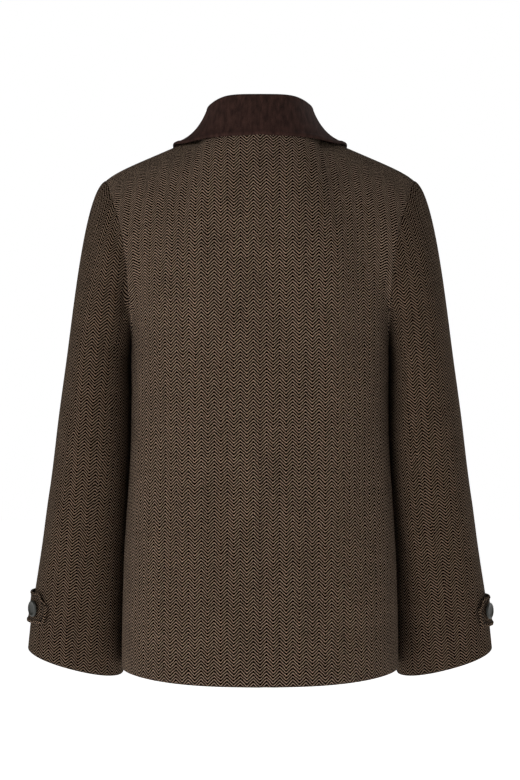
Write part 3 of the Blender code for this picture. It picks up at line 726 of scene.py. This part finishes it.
SHADED_SLEEVE_YARN = "#b99e86"        # a darker copy of the body's lighter yarn: painted shade on the sleeves
shaded_sleeve_tweed = herringbone("carded wool herringbone tweed of the sleeves", SHADED_SLEEVE_YARN, DARK_YARN)
down_sleeve = np.concatenate([steps_along(HEAD_LENGTH)[:-5],
                              1 + steps_along(ARM_LENGTH)[5:]])
SLEEVE_GAP_TURN = -0.03        # degrees from each piece's edge to the seam: they overlap
OUTSIDE_TURN = {"top": 0.0, "under": 178.0}   # where each piece's lengthwise yarns are true
for hand, side in (("left", 1), ("right", -1)):
    for part, width in (("top", 0.28), ("under", 0.14)):
        share, along = np.meshgrid(steps_along(width), down_sleeve)
        hind = seam_turn("hind_seam", HEAD_HIND_SEAM, along)
        fore = seam_turn("fore_seam", HEAD_FORE_SEAM, along)
        start, stop = (fore, hind) if part == "top" else (hind, fore + 360)
        turn = start + SLEEVE_GAP_TURN + (stop - start - 2 * SLEEVE_GAP_TURN) * share
        points = sleeve(along, np.radians(turn))
        normals = outward(points, -1)
        ring_row = np.searchsorted(down_sleeve, 1.0)
        u = travelled_along(points, 1)
        u -= np.array([np.interp(OUTSIDE_TURN[part], *row) for row in zip(turn, u)])[:, None]
        v = -travelled_along(points, 0)
        downward = (points[ring_row + 6] - points[ring_row]).mean(axis=0)
        crosswise = np.cross(downward, normals)
        crosswise /= np.linalg.norm(crosswise, axis=-1)[..., None]
        crosswise *= np.sign(crosswise[ring_row, 9] @ (points[ring_row, 10] - points[ring_row, 9]))
        upward = np.cross(crosswise, normals)
        upward *= -np.sign(upward[ring_row, 9] @ downward)
        slip = part_along(points, crosswise, 0)
        rise = part_along(points, upward, 0)
        u = np.where(along < 1, u[ring_row] + slip - slip[ring_row], u)
        v = np.where(along < 1, rise - rise[ring_row], v - v[ring_row])
        girth = np.radians(turn) * FOLD_RADIUS
        folds = fold_depth(girth, -points[..., 2], *SLEEVE_FOLDS[hand])
        folds = folds * ease(along / HEAD_FADE) * ease((2 - along) / CUFF_FADE)
        points = points + normals * folds[..., None]
        points[..., 0] *= side
        normals[..., 0] *= side
        # the sleeves' tweed is darkened with painted shade
        piece = shell(f"cloth_sleeve_{part}_{hand}", points, normals, CLOTH, shaded_sleeve_tweed,
                      u * side, v)
        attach(piece, "root")
        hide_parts(f"sleeve_{part}_{hand}")

# Collar. One strip of very fine brown cord, napped like velvet. It stands up from the neck
# seam, rolls over and falls flat, and its edge is turned in, which leaves a rounded lip.
COLLAR_CLOTH = 0.0028
COLLAR = table(
    "turn  stand_up  roll_height  roll_in  bend_out  bend_up  edge_out  edge_up",
    (0.0, 0.0016, 0.0415, 0.001, 0.022, 0.002, 0.0320, -0.0120),
    (40.0, 0.0016, 0.0411, 0.003, 0.020, 0.001, 0.0330, -0.0130),
    (65.0, 0.0016, 0.0362, 0.005, 0.015, -0.002, 0.0360, -0.0152),
    (90.0, 0.0016, 0.0318, 0.006, 0.011, -0.0035, 0.0412, -0.0137),
    (110.0, 0.0016, 0.0245, 0.006, 0.013, -0.003, 0.0410, -0.0284),
    (125.0, 0.0016, 0.0130, 0.004, 0.016, 0.003, 0.0375, -0.0480),
    (140.0, 0.0020, -0.0060, 0.002, 0.020, 0.010, 0.0405, -0.0620),
    (155.0, 0.0048, -0.0250, 0.001, 0.021, 0.006, 0.0390, -0.0890),
    (180.0, 0.0050, -0.0460, -0.001, 0.021, 0.006, 0.0360, -0.1110),
)
COLLAR_END_TURN = 176
COLLAR_POINT_TURN = 158
ROLL_RADIUS = 0.005
COLLAR_LENGTH = 0.47
STAND_LENGTH, FALL_LENGTH = 0.036, 0.058
WALE = 0.00125                 # one rib of the cord
CORD_COLOUR = "#33211c"
LIP = (0.0011, 0.0035, 0.0022)   # height of the edge's lip, distance in from the edge, width
COLLAR_TURN_IN = 0.0012


def collar_point(turn, part, share):
    """Point of the collar's outer face at a turn round the neck in degrees. The stand is
    straight, the roll is half a circle, and the fall is a curve drawn to its bend point."""
    row = {name: smooth(COLLAR["turn"], COLLAR[name], np.abs(turn)) for name in COLLAR}
    seam = neck_seam(np.radians(turn))
    roll_out = -row["roll_in"]
    roll_foot = row["roll_height"] - ROLL_RADIUS
    foot = seam[..., 2] + row["stand_up"]
    angle = np.pi * share
    near, bend, far = (1 - share) ** 2, 2 * share * (1 - share), share ** 2
    outs = (-CLOTH / 2 + (roll_out - ROLL_RADIUS + CLOTH / 2) * share,
            roll_out - ROLL_RADIUS * np.cos(angle),
            near * (roll_out + ROLL_RADIUS) + bend * row["bend_out"] + far * row["edge_out"])
    heights = (foot + (roll_foot - foot) * share,
               roll_foot + ROLL_RADIUS * np.sin(angle),
               near * roll_foot + bend * (seam[..., 2] + row["bend_up"]) + far * row["edge_up"])
    out = np.select([part == 0, part == 1, part == 2], outs)
    height = np.select([part == 0, part == 1, part == 2], heights)
    depth = np.where(np.cos(np.radians(turn)) > 0, NECK_BACK[0], NECK_FRONT[0])
    away = np.stack([depth * np.sin(np.radians(turn)),
                     NECK_HALF_WIDTH * np.cos(np.radians(turn))], axis=-1)
    away /= np.linalg.norm(away, axis=-1)[..., None]
    return np.stack([seam[..., 0] + away[..., 0] * out, seam[..., 1] + away[..., 1] * out,
                     height], axis=-1)


CORD_STEPS = (                 # result, operation, and what it works on
    ("angle", "MULTIPLY", "u", np.pi / WALE),
    ("wave", "SINE", "angle"),
    ("rib", "ABSOLUTE", "wave"),
    # painted shade: each rib darkens towards the furrows beside it
    ("painted_furrow_shade", "MULTIPLY_ADD", "rib", 0.40, 0.50),
    ("shade_of_nap", "MULTIPLY_ADD", "nap", 1.10, 0.45),
    ("shade_of_brushing", "MULTIPLY_ADD", "brushed", 3.20, -0.25),
    ("shade_of_pile", "MULTIPLY", "painted_furrow_shade", "shade_of_nap"),
    ("shade", "MULTIPLY", "shade_of_pile", "shade_of_brushing"),
    ("relief", "MULTIPLY_ADD", "nap", 0.5, "rib"),
)


def fine_cord(name, shade):
    """Napped cotton cord: each rib is half a sine across it, and painted shade darkens the furrow
    between.
    The nap is brushed along the ribs, so its clouds are drawn out that way."""
    material, tree, shader = new_material(name)
    place = add_node(tree, "ShaderNodeUVMap", uv_map="cloth").outputs[0]
    split = add_node(tree, "ShaderNodeSeparateXYZ", [(0, place)])
    nap = add_node(tree, "ShaderNodeTexNoise", [("Vector", place), ("Scale", 900.0),
                                                ("Detail", 3.0)], noise_dimensions="2D")
    drawn_out = add_node(tree, "ShaderNodeVectorMath", [(0, place), (1, (1.0, 0.3, 0.0))],
                         operation="MULTIPLY").outputs[0]
    brushed = add_node(tree, "ShaderNodeTexNoise", [("Vector", drawn_out), ("Scale", 190.0),
                                                    ("Detail", 5.0), ("Roughness", 0.65)],
                       noise_dimensions="2D")
    value = {"u": split.outputs[0], "nap": nap.outputs[0], "brushed": brushed.outputs[0]}
    work_out(tree, value, CORD_STEPS)
    tint(tree, shader, colour(shade)[:3], value["shade"])
    raise_grain(tree, shader, value["relief"], distance=0.00028, strength=0.5)
    shader.inputs["Roughness"].default_value = 0.85
    shader.inputs["Specular IOR Level"].default_value = 0.12
    shader.inputs["Sheen Weight"].default_value = 0.05
    shader.inputs["Sheen Roughness"].default_value = 0.4
    shader.inputs["Sheen Tint"].default_value = colour("#7a5148")
    return material


cord = fine_cord("napped fine brown cord", CORD_COLOUR)
stand = steps_along(STAND_LENGTH, 0.0, 1.0, 0.0024)[:-5]
roll = np.linspace(0.0, 1.0, 13)[:-1]
fall = np.concatenate([np.linspace(0.0, 1.0, 27)[:-1], steps_along(FALL_LENGTH)[-5:]])
fall = np.sort(fall[(fall < 0.95) | (fall > 0.965)])
part = np.concatenate([np.zeros_like(stand), np.ones_like(roll), np.full_like(fall, 2.0)])
part_share = np.concatenate([stand, roll, fall])
fall_share = np.where(part == 2, part_share, 0.0)
around = 2 * steps_along(COLLAR_LENGTH, 0.0, 1.0, 0.0024) - 1
which, sideways = np.meshgrid(np.arange(len(part)), around, indexing="ij")
end_turn = COLLAR_END_TURN + (COLLAR_POINT_TURN - COLLAR_END_TURN) * fall_share[which]
points = collar_point(sideways * end_turn, part[which], part_share[which])
normals = outward(points, 1)
middle = len(around) // 2
u = travelled_along(points, 1)
u -= u[:, middle:middle + 1]
v = travelled_along(points[:, middle], 0)[:, None] + 0 * u
lip = LIP[0] * np.exp(-((edge_distance(points) - LIP[1]) / LIP[2]) ** 2) * (part[which] == 2)
piece = shell("cord_collar", points, normals, COLLAR_CLOTH, cord, u, v, lip, COLLAR_TURN_IN)
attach(piece, "root")
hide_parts("collar")

# Cuff tabs. A strap of two layers of the tweed round the outside of each cuff, ending in a
# blunt point behind, turned right side out and topstitched 5.5 mm from its edge, which leaves
# a padded border and a sunk middle. It's sewn down in front and held by its button.
TAB_CLOTH = 0.0030
TAB_LIFT = 0.0047              # from the sleeve up to the tab's outer face
TAB_ROOT = -70                 # where it's sewn down, in degrees round from the outside
TABS = {                       # drops of its long edges, and its reach at three drops in degrees
    "left": {"upper": 0.5725, "lower": 0.6115, "reach": (38, 57, 53)},
    "right": {"upper": 0.5790, "lower": 0.6160, "reach": (33, 47, 45)},
}
TAB_POINT_SHARE = 0.45
TAB_LENGTH = 0.105
TAB_WIDTH = 0.039
TAB_GRID = 0.0009
STITCH_INSET = 0.0055
STITCH_PITCH = 0.0031
STITCH_LENGTH = 0.0024
STITCH_RADIUS = 0.00028
STITCH_RINGS, STITCH_SIDES = 5, 6
STITCH_TAPER = 0.45
STITCH_DIVE = 0.0005           # how far its ends dive into the cloth
THREAD_COLOUR = "#3a2c22"
PADDING = (0.0007, 0.0027, 0.0017)   # height of the border, distance in from the edge, width
GROOVE = (0.0013, 0.0009)      # depth and width of the groove under the stitches
MIDDLE = (0.0009, 0.001)       # how far the middle is sunk, and over what width it gets there
PAINTED_SHADE_AND_LIGHT = (0.75, 0.10, 0.30)   # painted shade darkens the groove and the sunk middle, and painted light makes the raised border paler
ROW_POINTS, END_POINTS = 60, 24   # of the stitches' path


def station_at(turn, drop):
    """Station of the sleeve whose ring, at a turn, is a drop below the origin. Its own drop
    differs from its station by a slowly changing amount, which a few corrections take up."""
    station = drop + 0 * turn
    for _ in range(6):
        station = station + drop + sleeve_ring(station, turn)[..., 2]
    return station


def tab_point(tab, share, along):
    """Point of the sleeve's face under the tab: share runs down across it, and along from
    its sewn end to its point, whose outline is straight between the three reaches."""
    drop = tab["upper"] + (tab["lower"] - tab["upper"]) * share
    reach = np.interp(share, (0, TAB_POINT_SHARE, 1), tab["reach"])
    turn = np.radians(TAB_ROOT + (reach - TAB_ROOT) * along)
    return sleeve_ring(station_at(turn, drop), turn)


def tab_normal(tab, share, along):
    """Way out of the sleeve: the cross product of short steps along and across the tab."""
    here = tab_point(tab, share, along)
    cross = np.cross(tab_point(tab, share, along + 0.01) - here,
                     tab_point(tab, share + 0.01, along) - here)
    return -cross / np.linalg.norm(cross, axis=-1)[..., None]


def stitches(name, path, normals, material):
    """A row of stitches along a path. Each is a thin tube of five rings of six points, one
    stitch length long, whose ends dive under the cloth by the square of the way from its middle."""
    travelled = travelled_along(path, 0)
    count = int(travelled[-1] / STITCH_PITCH)
    middles = (np.arange(count) + 0.5) * travelled[-1] / count
    along = np.linspace(-1, 1, STITCH_RINGS)
    at = middles[:, None] + along * STITCH_LENGTH / 2
    spot = np.stack([np.interp(at, travelled, path[:, k]) for k in range(3)], axis=-1)
    up = np.stack([np.interp(at, travelled, normals[:, k]) for k in range(3)], axis=-1)
    ahead = np.gradient(spot, axis=1)
    ahead /= np.linalg.norm(ahead, axis=-1)[..., None]
    beside = np.cross(up, ahead)
    turn = np.linspace(0, 2 * np.pi, STITCH_SIDES + 1)[:-1]
    thick = (STITCH_RADIUS * (1 - STITCH_TAPER * along ** 4))[:, None]
    spot = spot - up * (STITCH_DIVE * along ** 2)[:, None]
    ring = (spot[:, :, None] + beside[:, :, None] * (thick * np.cos(turn))[..., None]
            + up[:, :, None] * (thick * np.sin(turn))[..., None])
    index = np.arange(ring.size // 3).reshape(count, STITCH_RINGS, STITCH_SIDES)
    wrapped = np.concatenate([index, index[:, :, :1]], axis=2)
    ends = [index[:, row, order] for row, order in ((0, (3, 2, 1, 0)), (0, (0, 5, 4, 3)),
                                                    (-1, (0, 1, 2, 3)), (-1, (3, 4, 5, 0)))]
    faces = np.concatenate([grid_faces(wrapped)] + ends).tolist()
    return mesh_piece(name, ring.reshape(-1, 3), faces, material)


def sewing_thread(name, shade):
    """Spun polyester thread: matt, and a little uneven in tone along its length."""
    material, tree, shader = new_material(name)
    grain = add_node(tree, "ShaderNodeTexNoise", [("Scale", 1800.0), ("Detail", 2.0)])
    value = {"grain": grain.outputs[0]}
    work_out(tree, value, [("shade", "MULTIPLY_ADD", "grain", 0.6, 0.7)])
    tint(tree, shader, colour(shade)[:3], value["shade"])
    shader.inputs["Roughness"].default_value = 0.6
    return material


thread = sewing_thread("spun brown sewing thread", THREAD_COLOUR)
for hand, side in (("left", 1), ("right", -1)):
    tab = TABS[hand]
    share, along = np.meshgrid(steps_along(TAB_WIDTH, 0, 1, TAB_GRID),
                               steps_along(TAB_LENGTH, 0, 1, TAB_GRID), indexing="ij")
    out = tab_normal(tab, share, along)
    points = tab_point(tab, share, along) + out * TAB_LIFT
    normals = outward(points, -1)
    near = edge_distance(points)
    groove = np.exp(-((near - STITCH_INSET) / GROOVE[1]) ** 2)
    middle = ease((near - STITCH_INSET) / MIDDLE[1])
    padding = np.exp(-((near - PADDING[1]) / PADDING[2]) ** 2)
    swell = PADDING[0] * padding - GROOVE[0] * groove - MIDDLE[0] * middle
    u = travelled_along(points, 1)
    v = -travelled_along(points, 0)
    inset = STITCH_INSET / TAB_WIDTH
    reach_in = 1 - 1.12 * STITCH_INSET / TAB_LENGTH
    straight = np.linspace(0.02, reach_in, ROW_POINTS)
    end = np.linspace(inset, 1 - inset, END_POINTS)
    path_share = np.concatenate([np.full(ROW_POINTS, inset), end,
                                 np.full(ROW_POINTS, 1 - inset)])
    path_along = np.concatenate([straight, np.full(END_POINTS, reach_in), straight[::-1]])
    way_out = tab_normal(tab, path_share, path_along)
    path = tab_point(tab, path_share, path_along) + way_out * (TAB_LIFT - 0.0006)
    for item in (points, normals, path, way_out):
        item[..., 0] *= side
    # the tab is cut from the sleeves' tweed, which is darkened with painted shade
    piece = shell(f"cloth_cuff_tab_{hand}", points, normals, TAB_CLOTH, shaded_sleeve_tweed,
                  u * side, v, swell)
    # painted shade in the groove under the stitches and on the sunk middle, and painted light on the
    # raised border, kept as a point attribute that the tweed reads
    painted_shade_and_light = PAINTED_SHADE_AND_LIGHT[0] * groove + PAINTED_SHADE_AND_LIGHT[1] * middle - PAINTED_SHADE_AND_LIGHT[2] * padding
    painted_shade_and_light = np.concatenate([painted_shade_and_light.ravel(), np.zeros(len(piece.data.vertices) - painted_shade_and_light.size)])
    layer = piece.data.attributes.new("painted_shade_and_light", "FLOAT", "POINT")
    layer.data.foreach_set("value", painted_shade_and_light.astype(np.float32))
    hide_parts(f"cuff_tab_{hand}")
    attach(piece, "root")
    sewing = stitches(f"topstitching_{hand}", path, way_out, thread)
    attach(sewing, "root")

# Buttons. Six alike, turned from dark grey-green horn to 20 mm across with a low rounded rim
# and a shallow dished face, and sewn on by a shank behind. Four close the front over the lap
# and one holds each tab.
BUTTON_OUTLINE = ((0.0, 0.0021), (0.0025, 0.00212), (0.0050, 0.0022), (0.0066, 0.0025),
                  (0.0076, 0.0030), (0.0084, 0.0032), (0.0092, 0.00305), (0.0098, 0.0026),
                  (0.0102, 0.0019), (0.0102, 0.0014), (0.0098, 0.0009), (0.0090, 0.0004),
                  (0.0078, 0.0001), (0.0, 0.0))
BUTTON_TURNS = 64
BUTTON_RINGS = 58
CUFF_X = 0.235                 # the sleeve's middle, which a cuff button faces away from
HORN_COLOUR = "#1f201a"


def turned_button(name, place, facing, material):
    """Outline carried right round an axis: the outline's knots are joined by a smooth curve,
    and each of its points makes a ring. The two ends are closed by a fan on the axis."""
    knots = np.array(BUTTON_OUTLINE)
    travelled = travelled_along(knots, 0)
    at = np.linspace(0.0, travelled[-1], BUTTON_RINGS + 2)
    radius = smooth(travelled, knots[:, 0], at)
    height = smooth(travelled, knots[:, 1], at)
    turn = np.linspace(0, 2 * np.pi, BUTTON_TURNS + 1)[:-1]
    side = np.cross(facing, [0.0, 0.0, 1.0])
    side /= np.linalg.norm(side)
    upper = np.cross(side, facing)
    ring = (side * np.cos(turn)[:, None] + upper * np.sin(turn)[:, None])
    spots = (place + radius[1:-1, None, None] * ring + height[1:-1, None, None] * facing)
    poles = place + np.array([[height[0]], [height[-1]]]) * facing
    index = np.arange(BUTTON_RINGS * BUTTON_TURNS).reshape(BUTTON_RINGS, BUTTON_TURNS)
    faces = grid_faces(np.concatenate([index, index[:, :1]], axis=1))[:, ::-1]
    top, bottom = index.size, index.size + 1
    ahead = np.roll(np.arange(BUTTON_TURNS), -1)
    caps = [(top, a, b) for a, b in zip(index[0], index[0][ahead])]
    caps += [(bottom, b, a) for a, b in zip(index[-1], index[-1][ahead])]
    faces = faces.tolist() + [tuple(map(int, cap)) for cap in caps]
    return mesh_piece(name, np.concatenate([spots.reshape(-1, 3), poles]), faces, material)


def polished_horn(name, shade):
    """Dark horn: soft cloudy streaks, fine turning marks and a dulled polish."""
    material, tree, shader = new_material(name)
    place = add_node(tree, "ShaderNodeTexCoord").outputs["Object"]
    cloud = add_node(tree, "ShaderNodeTexNoise", [("Vector", place), ("Scale", 170.0),
                                                  ("Detail", 5.0), ("Distortion", 1.2)])
    value = {"cloud": cloud.outputs[0]}
    work_out(tree, value, [("shade", "MULTIPLY_ADD", "cloud", 1.1, 0.45)])
    tint(tree, shader, colour(shade)[:3], value["shade"])
    scratch = add_node(tree, "ShaderNodeTexNoise", [("Vector", place), ("Scale", 1500.0),
                                                    ("Detail", 3.0)])
    rough = add_node(tree, "ShaderNodeMapRange", [(0, scratch.outputs[0]), (3, 0.32), (4, 0.55)])
    tree.links.new(rough.outputs[0], shader.inputs["Roughness"])
    raise_grain(tree, shader, scratch.outputs[0], distance=0.0001, strength=0.35)
    return material


horn = polished_horn("dulled dark horn", HORN_COLOUR)
for node in [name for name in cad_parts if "button" in name]:
    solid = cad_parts[node]
    spots = np.empty(len(solid.data.vertices) * 3, dtype=np.float32)
    solid.data.vertices.foreach_get("co", spots)
    spots = spots.reshape(-1, 3)
    centre = spots.mean(axis=0)
    facing = np.linalg.svd(spots - centre)[2][-1]
    middle_x = np.sign(centre[0]) * CUFF_X if "cuff" in node else 0.0
    outside = centre - np.array([middle_x, 0.0, centre[2]])
    facing = facing * np.sign(facing @ outside)
    place = centre + facing * ((spots - centre) @ facing).min()
    piece = turned_button(f"horn_{node}", place, facing, horn)
    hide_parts(node)
    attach(piece, "root")
